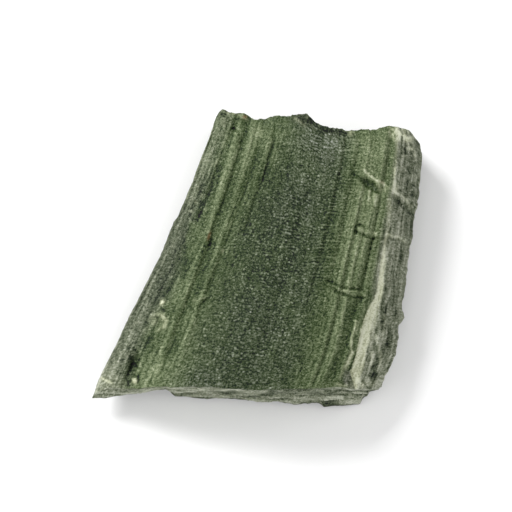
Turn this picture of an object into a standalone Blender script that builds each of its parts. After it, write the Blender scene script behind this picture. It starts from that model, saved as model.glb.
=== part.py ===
"""Moldavite tektite: one natural piece of bottle-green glass, a broken slab with a fluted upper face.

The slab lies on its underside. Its flow lines run from the back edge to the front edge and fan out to the left,
so the whole upper face is laid out on two flow coordinates:
    u  0 at the back edge, 1 at the front edge (along the flutes)
    v  0 at the left edge, 1 at the right edge (across the flutes)
The edge lines are drawn in millimetres on a sheet that faces someone looking down at the slab from the front, LEAN
above the level: x to the right, y away from them. A point's height over the table shifts it a little up the sheet.
"""

import math

import bpy
import numpy as np

# ---------------------------------------------------------------- driving dimensions, mm
LEAN = math.radians(76.0)
CENTRE = (0.157, -0.804)  # the middle of the box on the sheet, which becomes the origin
COLUMNS, ROWS = 64, 36  # cells across and along the upper face
SIDE_ROWS = 4  # rows of cells down the broken sides
WORN = 0.30  # how deep the flat that it rests on is worn into the underside
FAN = 0.9875  # share of the width that the flow lines fan over; the rest is a broken edge

# ---------------------------------------------------------------- edge lines (x, y), mm on the sheet
BACK = [
    (-3.6, 12.6), (-3.3, 13.1), (-2.95, 13.25), (-2.3, 12.95), (-1.35, 12.95),  # rounded knob at the left corner
    (-0.25, 12.4), (0.8, 12.45), (1.9, 12.65), (3.0, 12.7),  # shallow dip
    (3.5, 12.85), (4.05, 12.95), (4.6, 12.85), (5.1, 12.35), (5.65, 11.9),  # rough knob
    (8.0, 11.4), (10.7, 11.45), (11.8, 11.8), (12.8, 11.7),  # long hollow, then a slight rise
    (14.0, 11.3), (14.87, 10.15),  # rounded shoulder
]
LEFT = [
    (-3.6, 12.6), (-4.4, 10.35), (-6.05, 6.0), (-7.1, 3.5), (-7.4, 3.15), (-8.55, 0.25), (-9.8, -2.25),
    (-11.45, -5.5), (-12.8, -8.35), (-14.2, -11.25), (-14.65, -12.6),
]
RIGHT = [
    (14.87, 10.15), (15.15, 8.9), (14.97, 7.5), (14.6, 4.6), (14.27, 3.15), (14.2, 1.7), (14.0, 1.0),
    (13.43, -2.6), (13.16, -4.75), (13.35, -5.6), (12.86, -6.3), (12.79, -7.9), (12.47, -9.1), (12.16, -9.9), (11.66, -10.7),
    (11.27, -11.8),
]
FRONT = [
    (-14.65, -12.6), (-14.05, -12.15), (-13.15, -11.9), (-10.5, -11.9), (-8.8, -11.7), (-4.6, -11.7),
    (-2.4, -11.85), (0.35, -11.95), (2.7, -11.9), (7.5, -11.7), (8.9, -11.9), (10.0, -11.95), (11.27, -11.8),
]
FRONT_FOOT = [
    (-14.75, -12.8), (-13.8, -12.8), (-12.15, -12.6), (-10.0, -12.25),  # under the pointed corner
    (-8.2, -11.95), (-7.8, -12.1), (-7.4, -12.6),  # notch
    (-5.1, -12.85), (-2.4, -12.85), (-0.8, -13.0), (0.55, -13.2), (1.9, -13.1), (3.5, -13.4), (5.6, -13.2),
    (6.2, -13.6), (7.9, -13.5), (9.45, -13.3), (9.62, -12.78), (10.02, -12.72), (10.18, -12.22), (11.05, -12.05),
]

# ---------------------------------------------------------------- heights of the upper face over the table, mm
HEIGHT_V = (0.0, 0.05, 0.12, 0.25, 0.45, 0.65, 0.82, 0.90, 0.95, 1.0)
HEIGHT_U = (0.0, 0.05, 0.16, 0.35, 0.55, 0.80, 0.94, 1.0)
HEIGHTS = (
    (4.5, 4.8, 4.9, 4.9, 5.1, 5.2, 5.1, 4.9, 4.2, 3.3),
    (4.2, 4.9, 5.2, 5.5, 5.8, 5.9, 5.8, 5.4, 4.6, 3.2),
    (3.7, 4.8, 5.5, 5.9, 6.2, 6.3, 6.1, 5.6, 4.6, 3.0),
    (2.9, 4.3, 5.2, 6.0, 6.5, 6.6, 6.2, 5.6, 4.6, 2.9),
    (2.3, 3.7, 4.8, 5.9, 6.6, 6.6, 6.1, 5.5, 4.4, 2.8),
    (1.9, 3.0, 4.1, 5.4, 6.4, 6.4, 5.9, 5.2, 4.0, 2.7),
    (2.0, 2.7, 3.5, 4.9, 6.0, 6.1, 5.7, 4.8, 3.8, 2.5),
    (2.1, 2.6, 3.3, 4.7, 5.7, 5.8, 5.4, 4.4, 3.5, 2.4),
)
# Ridges (+) and grooves (-): v at the back, v at the front, half width in v, height, first u, last u.
# Here and for the split, v is a share of the fan.
FLUTES = (
    (0.022, 0.024, 0.012, -0.18, 0.06, 0.94),
    (0.066, 0.058, 0.012, +0.15, 0.60, 0.95),
    (0.112, 0.078, 0.011, -0.12, 0.02, 0.62),
    (0.131, 0.209, 0.017, +0.19, 0.03, 0.97),
    (0.166, 0.225, 0.012, -0.17, 0.01, 0.90),
    (0.194, 0.275, 0.015, +0.18, 0.01, 0.90),
    (0.246, 0.282, 0.012, -0.12, 0.06, 0.80),
    (0.313, 0.326, 0.011, -0.11, 0.05, 0.45),
    (0.410, 0.415, 0.018, -0.05, 0.10, 0.95),
    (0.494, 0.498, 0.018, +0.05, 0.05, 0.95),
    (0.562, 0.582, 0.015, +0.06, 0.03, 0.95),
    (0.628, 0.632, 0.013, +0.06, 0.02, 0.70),
    (0.644, 0.664, 0.010, -0.11, 0.01, 0.66),
    (0.711, 0.720, 0.010, -0.10, 0.02, 0.60),
    (0.756, 0.753, 0.012, +0.10, 0.02, 0.98),
    (0.776, 0.766, 0.010, -0.11, 0.22, 0.98),
    (0.789, 0.791, 0.012, +0.11, 0.40, 0.97),
    (0.830, 0.812, 0.012, +0.09, 0.02, 0.62),
    (0.859, 0.838, 0.011, -0.20, 0.01, 0.72),
    (0.836, 0.826, 0.016, -0.20, 0.66, 0.98),
)
# The long split at the right shoulder: u, v of its left lip, v of its right lip, depth
SPLIT_U = (0.30, 0.45, 0.60, 0.66, 0.78, 0.90, 1.00)
SPLIT_LEFT = (0.899, 0.899, 0.893, 0.876, 0.856, 0.852, 0.866)
SPLIT_RIGHT = (0.907, 0.909, 0.913, 0.917, 0.922, 0.930, 0.940)
SPLIT_DEPTH = (0.00, 0.10, 0.22, 0.34, 0.42, 0.44, 0.30)
# Hollows: x, y, half length, half width, turn of the long side, depth
HOLLOWS = (
    (10.2, 6.3, 1.1, 0.45, -0.62, 0.22),  # scooped flake at the right
    (-11.0, -9.9, 1.2, 0.40, 1.39, 0.45),  # cavity behind the pointed corner
    (-2.1, 11.7, 0.8, 0.55, -0.20, 0.30),  # scoop in the back left corner
    (4.1, 12.3, 1.3, 0.45, -0.25, 0.35),  # flake off the back edge
    (13.7, 8.6, 2.0, 0.75, -1.50, 0.18),  # dished flake at the right shoulder
)


def ease(low, high, x):
    """0 below low, 1 above high, smooth between them."""
    t = np.clip((np.asarray(x, float) - low) / (high - low), 0.0, 1.0)
    return t * t * (3.0 - 2.0 * t)


def lattice(i, j, seed):
    """A repeatable number from -1 to 1 for each whole-number point."""
    n = (i.astype(np.int64) * 374761393 + j.astype(np.int64) * 668265263 + seed * 1274126177) & 0x7FFFFFFF
    n = ((n ^ (n >> 13)) * 1103515245 + 12345) & 0x7FFFFFFF
    n = ((n ^ (n >> 11)) * 69069 + 1) & 0x7FFFFFFF
    return (n & 0xFFFFF) / 524287.5 - 1.0


def waves(x, y, seed):
    """Smooth random relief from -1 to 1, one bump for each whole step of x and y."""
    x, y = np.broadcast_arrays(np.asarray(x, float), np.asarray(y, float))
    i, j = np.floor(x), np.floor(y)
    s, t = x - i, y - j
    s, t = s * s * (3 - 2 * s), t * t * (3 - 2 * t)
    top = lattice(i, j, seed) * (1 - s) + lattice(i + 1, j, seed) * s
    low = lattice(i, j + 1, seed) * (1 - s) + lattice(i + 1, j + 1, seed) * s
    return top * (1 - t) + low * t


def rough(x, y, seed, octaves=3):
    """Broken-looking relief: waves of several sizes, each half the size of the last."""
    total, size = 0.0, 1.0
    for k in range(octaves):
        total = total + size * waves(x * 2**k + 17.3 * k, y * 2**k - 9.1 * k, seed + 31 * k)
        size *= 0.5
    return total / 1.75


def drawn(points, t, radius, side):
    """The edge line through points at t from 0 to 1 along it, with its corners rounded over radius.

    side is 0 for an edge that is read by its x (back, front) and 1 for one that is read by its y (left, right).
    """
    at = points[0][side] + (points[-1][side] - points[0][side]) * t
    rising = sorted(points, key=lambda p: p[side])
    a, b = [p[side] for p in rising], [p[1 - side] for p in rising]
    # near an end the rounding shrinks, so that the corners of the slab stay where they are drawn
    reach = np.clip(np.minimum(at - a[0], a[-1] - at), 0.0, radius)
    other = sum(np.interp(at + k * reach, a, b) for k in (-1.0, -0.5, 0.0, 0.5, 1.0)) / 5.0
    return np.stack([at, other] if side == 0 else [other, at], -1)


def chips(t, seed, size, coarse):
    """Small broken nicks along an edge line, none at its corners."""
    return size * ease(0.0, 0.03, t) * ease(0.0, 0.03, 1 - t) * rough(t * coarse, seed * 2.0, seed)


def edges(t, radius, broken):
    """The four edge lines at parameter t: back, front, left, right."""
    back, front = drawn(BACK, t, radius, 0), drawn(FRONT, t, radius, 0)
    left, right = drawn(LEFT, t, radius, 1), drawn(RIGHT, t, radius, 1)
    if broken:
        back[:, 1] += chips(t, 11, 0.12, 29)
        front[:, 1] += chips(t, 12, 0.08, 36)
        left[:, 0] += chips(t, 13, 0.05, 23)
        right[:, 0] += chips(t, 14, 0.10, 35)
    return back, front, left, right


def patch(back, front, left, right, u, v):
    """A surface inside four edge lines: the lines across and along, blended."""
    u, v = u[..., None], v[..., None]
    corners = (1 - u) * (1 - v) * back[0] + (1 - u) * v * back[-1] + u * (1 - v) * front[0] + u * v * front[-1]
    return (1 - u) * back[None] + u * front[None] + (1 - v) * left[:, None] + v * right[:, None] - corners


def face_grid(us, vs):
    """Where flow coordinates us x vs lie on the sheet. The nicks of the edges die out just inside them."""
    u, v = np.meshgrid(us, vs, indexing="ij")
    soft_v, soft_u = edges(vs, 1.4, False), edges(us, 1.4, False)
    real_v, real_u = edges(vs, 0.11, True), edges(us, 0.11, True)
    at = patch(soft_v[0], soft_v[1], soft_u[2], soft_u[3], u, v)
    at = at + (real_v[0] - soft_v[0])[None] * ((1 - u) ** 14)[..., None]
    at = at + (real_v[1] - soft_v[1])[None] * (u**14)[..., None]
    at = at + (real_u[2] - soft_u[2])[:, None] * ((1 - v) ** 22)[..., None]
    at = at + (real_u[3] - soft_u[3])[:, None] * (v**22)[..., None]
    return at


def table_height(u, v):
    """The smooth height of the upper face over the table, with straight runs rounded off."""
    rows, row_u = np.array(HEIGHTS), np.array(HEIGHT_U)
    total = 0.0
    for dv in (-0.022, 0.0, 0.022):
        vv = np.clip(v + dv * ease(0, 0.05, v) * ease(0, 0.05, 1 - v), 0, 1)
        across = np.stack([np.interp(vv, HEIGHT_V, row) for row in rows], 0)
        for du in (-0.05, 0.0, 0.05):
            uu = np.clip(u + du * ease(0, 0.08, u) * ease(0, 0.08, 1 - u), 0, 1)
            k = np.clip(np.searchsorted(row_u, uu, side="right") - 1, 0, len(rows) - 2)
            t = (uu - row_u[k]) / (row_u[k + 1] - row_u[k])
            low, high = np.take_along_axis(across, k[None], 0)[0], np.take_along_axis(across, k[None] + 1, 0)[0]
            total = total + low * (1 - t) + high * t
    return total / 9.0


def upper_height(u, v, x, y):
    """Height of the upper face: the smooth table, the flutes, the split and the larger hollows."""
    z = table_height(u, v)
    v = v / FAN
    wander = 0.004 * waves(u * 5, v * 9, 21)
    for v_back, v_front, width, high, first, last in FLUTES:
        middle = v_back + (v_front - v_back) * u + wander
        along = ease(first - 0.04, first + 0.05, u) * ease(1 - last - 0.04, 1 - last + 0.05, 1 - u)
        z = z + high * along * np.exp(-(((v - middle) / width) ** 2))
    left, right = np.interp(u, SPLIT_U, SPLIT_LEFT), np.interp(u, SPLIT_U, SPLIT_RIGHT)
    depth = np.interp(u, SPLIT_U, SPLIT_DEPTH) * ease(SPLIT_U[0], SPLIT_U[1], u)
    z = z - depth * ease(left - 0.008, left + 0.010, v) * ease(-0.010, 0.030, right + 0.02 - v)
    for cx, cy, long, wide, turn, deep in HOLLOWS:
        c, s = math.cos(turn), math.sin(turn)
        a, b = ((x - cx) * c + (y - cy) * s) / long, (-(x - cx) * s + (y - cy) * c) / wide
        z = z - deep * np.exp(-((a * a + b * b) ** 1.5))
    return z + 0.05 * rough(x / 1.45, y / 2.15, 41) * ease(0, 0.03, u)


def on_table(x, y, z):
    """A point of the sheet at height z, as a place over the table."""
    return np.stack([x - CENTRE[0], (y - z * math.cos(LEAN)) / math.sin(LEAN) - CENTRE[1], z + 0 * x], -1)


def upper_face(us, vs):
    """Points of the upper face, one row for each u."""
    u, v = np.meshgrid(us, vs, indexing="ij")
    at = face_grid(us, vs)
    return on_table(at[..., 0], at[..., 1], upper_height(u, v, at[..., 0], at[..., 1]))


def foot_sides(us, vs, upper):
    """The lower edges of the broken sides: left and right for each u, front and back for each v."""

    def corner(side, t, first, last, reach=0.14):
        near, far = ease(0, reach, t)[:, None], ease(0, reach, 1 - t)[:, None]
        return side + (1 - near) * (np.array(first) - side[0]) + (1 - far) * (np.array(last) - side[-1])

    line = drawn(FRONT_FOOT, vs, 0.09, 0)
    line[:, 1] += chips(vs, 15, 0.07, 41)
    tip = 1 - ease(-8.2, -7.4, line[:, 0])  # the pointed corner overhangs: its foot is well above the table
    front = on_table(line[:, 0], line[:, 1], 0.55 + 1.25 * tip + 0.15 * rough(line[:, 0] / 2.2, 3.1, 16))
    left, right, back = upper[:, 0].copy(), upper[:, -1].copy(), upper[0].copy()
    left[:, 0] += 0.50
    left[:, 2] = np.maximum(left[:, 2] - 0.95 - 0.9 * ease(0.5, 0.0, us) + 0.12 * rough(us * 9, 1.5, 17), 0.8)
    right[:, 0] -= 0.75
    right[:, 2] += 0.2 * rough(us * 8, 2.5, 18) - 1.75
    back[:, 1] += 0.30 + 0.35 * rough(vs * 7, 3.5, 19)
    back[:, 2] = 0.85 + 0.25 * rough(vs * 6, 4.5, 20)
    back_left, back_right = upper[0, 0] + np.array([0.35, 0.05, 0.0]), upper[0, -1] + np.array([-0.55, 0.10, 0.0])
    back_left[2], back_right[2] = 1.3, 1.0
    return (corner(left, us, back_left, front[0]), front, corner(right, us, back_right, front[-1]),
            corner(back, vs, back_left, back_right))


def under_face(us, vs, sides):
    """Points of the underside: one broad, slightly wavy break, worn flat where it touches the table."""
    u, v = np.meshgrid(us, vs, indexing="ij")
    left, front, right, back = sides
    at = patch(back, front, left, right, u, v)
    inside = ease(0.0, 0.26, np.minimum(np.minimum(u, 1 - u), np.minimum(v, 1 - v) * 1.2))
    low = 0.34 * rough(at[..., 0] / 6.5, at[..., 1] / 5.5, 51, 2) - WORN
    at[..., 2] = np.maximum(at[..., 2] * (1 - inside) + low * inside, 0.0)
    return at


def ring(left, front, right, back):
    """Four sides as one closed loop, anticlockwise from above, starting at the back left corner."""
    return np.concatenate([left[:-1], front[:-1], right[::-1][:-1], back[::-1][:-1]])


def border(rows, columns, first):
    """The numbers of a grid's border points, in ring's order, for a grid whose points are counted row by row."""
    n = first + np.arange((rows + 1) * (columns + 1)).reshape(rows + 1, columns + 1)
    return ring(n[:, 0], n[-1], n[:, -1], n[0])


def cells(rows, columns, first, upward):
    """The four-sided faces of such a grid."""
    n = first + np.arange((rows + 1) * (columns + 1)).reshape(rows + 1, columns + 1)
    corners = [n[:-1, :-1], n[1:, :-1], n[1:, 1:], n[:-1, 1:]]
    return np.stack(corners if upward else corners[::-1], -1).reshape(-1, 4).tolist()


def outward(loop):
    """The level direction out of a closed loop at each of its points."""
    along = sum(np.roll(loop, -k, 0) - np.roll(loop, k, 0) for k in (1, 2, 3, 4))
    out = np.stack([along[:, 1], -along[:, 0]], -1)
    return out / np.maximum(np.linalg.norm(out, axis=1), 1e-9)[:, None]


def slab():
    """(points, faces) of the whole piece: the upper face, the broken sides down from it, and the underside."""
    us, vs = np.linspace(0, 1, ROWS + 1), np.linspace(0, 1, COLUMNS + 1)
    top = upper_face(us, vs)
    feet = foot_sides(us, vs, top)
    under = under_face(us[::2], vs[::2], [side[::2] for side in feet])
    points, faces = [top.reshape(-1, 3)], cells(ROWS, COLUMNS, 0, True)
    count, upper = top.size // 3, border(ROWS, COLUMNS, 0)

    rim, foot = ring(top[:, 0], top[-1], top[:, -1], top[0]), ring(*feet)
    out = outward((rim + foot) / 2)
    run = np.concatenate([[0], np.cumsum(np.linalg.norm(np.diff(rim, axis=0), axis=1))])
    tall = np.clip((rim[:, 2] - foot[:, 2]) / 4.0, 0.15, 1.0)
    for k in range(1, SIDE_ROWS):
        s = k / SIDE_ROWS
        belly = (0.16 * rough(run / 5.0, 0.7, 61, 2) - 0.12) * 4 * s * (1 - s) + 0.10 * rough(run / 1.6, s * 3, 62, 2)
        level = rim * (1 - s) + foot * s
        level[:, :2] += out * (belly * tall)[:, None]
        points.append(level)
        lower = count + np.arange(len(level))
        count += len(level)
        faces += np.stack([upper, lower, np.roll(lower, -1), np.roll(upper, -1)], -1).tolist()
        upper = lower
    # the underside has half as many points round its border, so two cells meet each of its edges
    points.append(under.reshape(-1, 3))
    faces += cells(ROWS // 2, COLUMNS // 2, count, False)
    low = border(ROWS // 2, COLUMNS // 2, count)
    for k in range(len(low)):
        a, m, b = upper[2 * k], upper[2 * k + 1], upper[(2 * k + 2) % len(upper)]
        c, d = low[k], low[(k + 1) % len(low)]
        faces += [[a, c, m], [m, c, d], [m, d, b]]
    return np.concatenate(points), faces


def main():
    for thing in list(bpy.data.objects):
        bpy.data.objects.remove(thing, do_unlink=True)
    points, faces = slab()
    mesh = bpy.data.meshes.new("moldavite")
    mesh.from_pydata((points * 0.001).tolist(), [], faces)
    mesh.update()
    mesh.shade_smooth()
    piece = bpy.data.objects.new("moldavite", mesh)
    bpy.context.scene.collection.objects.link(piece)
    piece.modifiers.new("triangles", "TRIANGULATE").quad_method = "BEAUTY"

    glass = bpy.data.materials.new("moldavite_glass")
    glass.use_nodes = True
    shader = glass.node_tree.nodes["Principled BSDF"]
    shader.inputs["Base Color"].default_value = (0.085, 0.115, 0.055, 1.0)
    shader.inputs["Roughness"].default_value = 0.42
    shader.inputs["Metallic"].default_value = 0.0
    shader.inputs["IOR"].default_value = 1.49
    mesh.materials.append(glass)


main()
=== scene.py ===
"""Moldavite tektite: the looks. The stone's form repeats the solid's, at about a tenth of a millimetre a cell, with its
flutes, pits, cracks and chips in the mesh, and a glass material that goes from dark green to pale at thin edges.

u runs along the flutes from the back edge to the front edge, and v across them from the left edge to the right edge.
x and y are millimetres on the sheet that the edge lines are drawn on, which faces the camera.
"""

import math

import bpy
import numpy as np
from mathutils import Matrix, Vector


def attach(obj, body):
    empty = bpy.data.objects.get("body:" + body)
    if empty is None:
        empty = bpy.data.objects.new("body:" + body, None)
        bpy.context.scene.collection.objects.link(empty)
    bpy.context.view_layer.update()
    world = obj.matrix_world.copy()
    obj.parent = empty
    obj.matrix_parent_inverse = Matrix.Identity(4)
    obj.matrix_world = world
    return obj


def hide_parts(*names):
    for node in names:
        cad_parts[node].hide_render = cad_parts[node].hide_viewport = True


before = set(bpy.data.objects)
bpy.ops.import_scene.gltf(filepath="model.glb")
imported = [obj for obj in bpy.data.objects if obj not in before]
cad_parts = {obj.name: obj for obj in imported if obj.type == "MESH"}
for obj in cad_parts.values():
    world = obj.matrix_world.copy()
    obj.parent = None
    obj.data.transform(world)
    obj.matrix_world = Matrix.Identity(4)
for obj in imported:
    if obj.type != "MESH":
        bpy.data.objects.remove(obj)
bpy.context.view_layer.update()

# ---------------------------------------------------------------- the solid's form, mm (the same as the CAD's)
LEAN = math.radians(76.0)
CENTRE = (0.157, -0.804)
COLUMNS, ROWS = 250, 270
SIDE_ROWS = 26
WORN = 0.30
FAN = 0.9875

BACK = [
    (-3.6, 12.6), (-3.3, 13.1), (-2.95, 13.25), (-2.3, 12.95), (-1.35, 12.95),
    (-0.25, 12.4), (0.8, 12.45), (1.9, 12.65), (3.0, 12.7),
    (3.5, 12.85), (4.05, 12.95), (4.6, 12.85), (5.1, 12.35), (5.65, 11.9),
    (8.0, 11.4), (10.7, 11.45), (11.8, 11.8), (12.8, 11.7),
    (14.0, 11.3), (14.87, 10.15),
]
LEFT = [
    (-3.6, 12.6), (-4.4, 10.35), (-6.05, 6.0), (-7.1, 3.5), (-7.4, 3.15), (-8.55, 0.25), (-9.8, -2.25),
    (-11.45, -5.5), (-12.8, -8.35), (-14.2, -11.25), (-14.65, -12.6),
]
RIGHT = [
    (14.87, 10.15), (15.15, 8.9), (14.97, 7.5), (14.6, 4.6), (14.27, 3.15), (14.2, 1.7), (14.0, 1.0),
    (13.43, -2.6), (13.16, -4.75), (13.35, -5.6), (12.86, -6.3), (12.79, -7.9), (12.47, -9.1), (12.16, -9.9), (11.66, -10.7),
    (11.27, -11.8),
]
FRONT = [
    (-14.65, -12.6), (-14.05, -12.15), (-13.15, -11.9), (-10.5, -11.9), (-8.8, -11.7), (-4.6, -11.7),
    (-2.4, -11.85), (0.35, -11.95), (2.7, -11.9), (7.5, -11.7), (8.9, -11.9), (10.0, -11.95), (11.27, -11.8),
]
FRONT_FOOT = [
    (-14.75, -12.8), (-13.8, -12.8), (-12.15, -12.6), (-10.0, -12.25),
    (-8.2, -11.95), (-7.8, -12.1), (-7.4, -12.6),
    (-5.1, -12.85), (-2.4, -12.85), (-0.8, -13.0), (0.55, -13.2), (1.9, -13.1), (3.5, -13.4), (5.6, -13.2),
    (6.2, -13.6), (7.9, -13.5), (9.45, -13.3), (9.62, -12.78), (10.02, -12.72), (10.18, -12.22), (11.05, -12.05),
]
HEIGHT_V = (0.0, 0.05, 0.12, 0.25, 0.45, 0.65, 0.82, 0.90, 0.95, 1.0)
HEIGHT_U = (0.0, 0.05, 0.16, 0.35, 0.55, 0.80, 0.94, 1.0)
HEIGHTS = (
    (4.5, 4.8, 4.9, 4.9, 5.1, 5.2, 5.1, 4.9, 4.2, 3.3),
    (4.2, 4.9, 5.2, 5.5, 5.8, 5.9, 5.8, 5.4, 4.6, 3.2),
    (3.7, 4.8, 5.5, 5.9, 6.2, 6.3, 6.1, 5.6, 4.6, 3.0),
    (2.9, 4.3, 5.2, 6.0, 6.5, 6.6, 6.2, 5.6, 4.6, 2.9),
    (2.3, 3.7, 4.8, 5.9, 6.6, 6.6, 6.1, 5.5, 4.4, 2.8),
    (1.9, 3.0, 4.1, 5.4, 6.4, 6.4, 5.9, 5.2, 4.0, 2.7),
    (2.0, 2.7, 3.5, 4.9, 6.0, 6.1, 5.7, 4.8, 3.8, 2.5),
    (2.1, 2.6, 3.3, 4.7, 5.7, 5.8, 5.4, 4.4, 3.5, 2.4),
)
# Ridges (+) and grooves (-): v at the back, v at the front, half width in v, height, first u, last u, paleness. A
# ridge's paleness is partly its thinner glass and partly painted highlight; a groove's darkness is painted shade.
FLUTES = (
    (0.022, 0.024, 0.007, -0.16, 0.06, 0.94, -0.8),
    (0.058, 0.050, 0.009, -0.10, 0.08, 0.70, -0.5),
    (0.066, 0.058, 0.010, +0.12, 0.60, 0.95, 0.4),
    (0.112, 0.078, 0.009, -0.10, 0.02, 0.62, -0.5),
    (0.131, 0.209, 0.016, +0.15, 0.03, 0.97, 1.15),
    (0.166, 0.225, 0.011, -0.14, 0.01, 0.90, -0.75),
    (0.194, 0.275, 0.014, +0.14, 0.01, 0.90, 0.95),
    (0.246, 0.282, 0.010, -0.10, 0.06, 0.80, -0.5),
    (0.288, 0.300, 0.007, +0.08, 0.05, 0.36, 0.8),
    (0.313, 0.326, 0.008, -0.09, 0.05, 0.45, -0.6),
    (0.410, 0.415, 0.016, -0.04, 0.10, 0.95, -0.3),
    (0.445, 0.452, 0.014, +0.03, 0.10, 0.90, 0.2),
    (0.494, 0.498, 0.016, +0.04, 0.05, 0.95, 0.25),
    (0.528, 0.530, 0.010, -0.04, 0.05, 0.90, -0.3),
    (0.562, 0.582, 0.012, +0.05, 0.03, 0.95, 0.35),
    (0.628, 0.632, 0.011, +0.05, 0.02, 0.70, 0.35),
    (0.644, 0.664, 0.007, -0.09, 0.01, 0.66, -0.7),
    (0.684, 0.692, 0.010, +0.06, 0.02, 0.40, 0.4),
    (0.711, 0.720, 0.008, -0.08, 0.02, 0.60, -0.45),
    (0.756, 0.753, 0.010, +0.08, 0.02, 0.98, 0.7),
    (0.776, 0.766, 0.007, -0.09, 0.22, 0.98, -0.5),
    (0.789, 0.791, 0.010, +0.09, 0.40, 0.97, 0.9),
    (0.830, 0.812, 0.010, +0.07, 0.02, 0.62, 0.6),
    (0.859, 0.838, 0.009, -0.16, 0.01, 0.72, -0.95),
    (0.836, 0.826, 0.016, -0.16, 0.66, 0.98, -1.10),
)
SPLIT_U = (0.30, 0.45, 0.60, 0.66, 0.78, 0.90, 1.00)
SPLIT_LEFT = (0.899, 0.899, 0.893, 0.876, 0.856, 0.852, 0.866)
SPLIT_RIGHT = (0.907, 0.909, 0.913, 0.917, 0.922, 0.930, 0.940)
SPLIT_DEPTH = (0.00, 0.10, 0.22, 0.34, 0.42, 0.44, 0.30)
HOLLOWS = (
    (10.2, 6.3, 1.1, 0.45, -0.62, 0.22),
    (-11.0, -9.9, 1.2, 0.40, 1.39, 0.45),
    (-2.1, 11.7, 0.8, 0.55, -0.20, 0.30),
    (4.1, 12.3, 1.3, 0.45, -0.25, 0.35),
    (13.7, 8.6, 2.0, 0.75, -1.50, 0.18),
)


def ease(low, high, x):
    t = np.clip((np.asarray(x, float) - low) / (high - low), 0.0, 1.0)
    return t * t * (3.0 - 2.0 * t)


def lattice(i, j, seed):
    n = (i.astype(np.int64) * 374761393 + j.astype(np.int64) * 668265263 + seed * 1274126177) & 0x7FFFFFFF
    n = ((n ^ (n >> 13)) * 1103515245 + 12345) & 0x7FFFFFFF
    n = ((n ^ (n >> 11)) * 69069 + 1) & 0x7FFFFFFF
    return (n & 0xFFFFF) / 524287.5 - 1.0


def waves(x, y, seed):
    x, y = np.broadcast_arrays(np.asarray(x, float), np.asarray(y, float))
    i, j = np.floor(x), np.floor(y)
    s, t = x - i, y - j
    s, t = s * s * (3 - 2 * s), t * t * (3 - 2 * t)
    top = lattice(i, j, seed) * (1 - s) + lattice(i + 1, j, seed) * s
    low = lattice(i, j + 1, seed) * (1 - s) + lattice(i + 1, j + 1, seed) * s
    return top * (1 - t) + low * t


def rough(x, y, seed, octaves=3):
    total, size = 0.0, 1.0
    for k in range(octaves):
        total = total + size * waves(x * 2**k + 17.3 * k, y * 2**k - 9.1 * k, seed + 31 * k)
        size *= 0.5
    return total / 1.75


def drawn(points, t, radius, side):
    at = points[0][side] + (points[-1][side] - points[0][side]) * t
    rising = sorted(points, key=lambda p: p[side])
    a, b = [p[side] for p in rising], [p[1 - side] for p in rising]
    reach = np.clip(np.minimum(at - a[0], a[-1] - at), 0.0, radius)
    other = sum(np.interp(at + k * reach, a, b) for k in (-1.0, -0.5, 0.0, 0.5, 1.0)) / 5.0
    return np.stack([at, other] if side == 0 else [other, at], -1)


def chips(t, seed, size, coarse):
    return size * ease(0.0, 0.03, t) * ease(0.0, 0.03, 1 - t) * rough(t * coarse, seed * 2.0, seed)


def edges(t, radius, broken):
    back, front = drawn(BACK, t, radius, 0), drawn(FRONT, t, radius, 0)
    left, right = drawn(LEFT, t, radius, 1), drawn(RIGHT, t, radius, 1)
    if broken:
        back[:, 1] += chips(t, 11, 0.12, 29) + chips(t, 71, 0.07, 110)
        front[:, 1] += chips(t, 12, 0.08, 36) + chips(t, 72, 0.05, 120)
        left[:, 0] += chips(t, 13, 0.05, 23) + chips(t, 73, 0.03, 100)
        right[:, 0] += chips(t, 14, 0.10, 35) + chips(t, 74, 0.06, 105)
    return back, front, left, right


def patch(back, front, left, right, u, v):
    u, v = u[..., None], v[..., None]
    corners = (1 - u) * (1 - v) * back[0] + (1 - u) * v * back[-1] + u * (1 - v) * front[0] + u * v * front[-1]
    return (1 - u) * back[None] + u * front[None] + (1 - v) * left[:, None] + v * right[:, None] - corners


def face_grid(us, vs):
    u, v = np.meshgrid(us, vs, indexing="ij")
    soft_v, soft_u = edges(vs, 1.4, False), edges(us, 1.4, False)
    real_v, real_u = edges(vs, 0.11, True), edges(us, 0.11, True)
    at = patch(soft_v[0], soft_v[1], soft_u[2], soft_u[3], u, v)
    at = at + (real_v[0] - soft_v[0])[None] * ((1 - u) ** 14)[..., None]
    at = at + (real_v[1] - soft_v[1])[None] * (u**14)[..., None]
    at = at + (real_u[2] - soft_u[2])[:, None] * ((1 - v) ** 22)[..., None]
    at = at + (real_u[3] - soft_u[3])[:, None] * (v**22)[..., None]
    return at


def table_height(u, v):
    rows, row_u = np.array(HEIGHTS), np.array(HEIGHT_U)
    total = 0.0
    for dv in (-0.022, 0.0, 0.022):
        vv = np.clip(v + dv * ease(0, 0.05, v) * ease(0, 0.05, 1 - v), 0, 1)
        across = np.stack([np.interp(vv, HEIGHT_V, row) for row in rows], 0)
        for du in (-0.05, 0.0, 0.05):
            uu = np.clip(u + du * ease(0, 0.08, u) * ease(0, 0.08, 1 - u), 0, 1)
            k = np.clip(np.searchsorted(row_u, uu, side="right") - 1, 0, len(rows) - 2)
            t = (uu - row_u[k]) / (row_u[k + 1] - row_u[k])
            low, high = np.take_along_axis(across, k[None], 0)[0], np.take_along_axis(across, k[None] + 1, 0)[0]
            total = total + low * (1 - t) + high * t
    return total / 9.0


def on_table(x, y, z):
    return np.stack([x - CENTRE[0], (y - z * math.cos(LEAN)) / math.sin(LEAN) - CENTRE[1], z + 0 * x], -1)


def ring(left, front, right, back):
    return np.concatenate([left[:-1], front[:-1], right[::-1][:-1], back[::-1][:-1]])


def border(rows, columns, first):
    n = first + np.arange((rows + 1) * (columns + 1)).reshape(rows + 1, columns + 1)
    return ring(n[:, 0], n[-1], n[:, -1], n[0])


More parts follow.
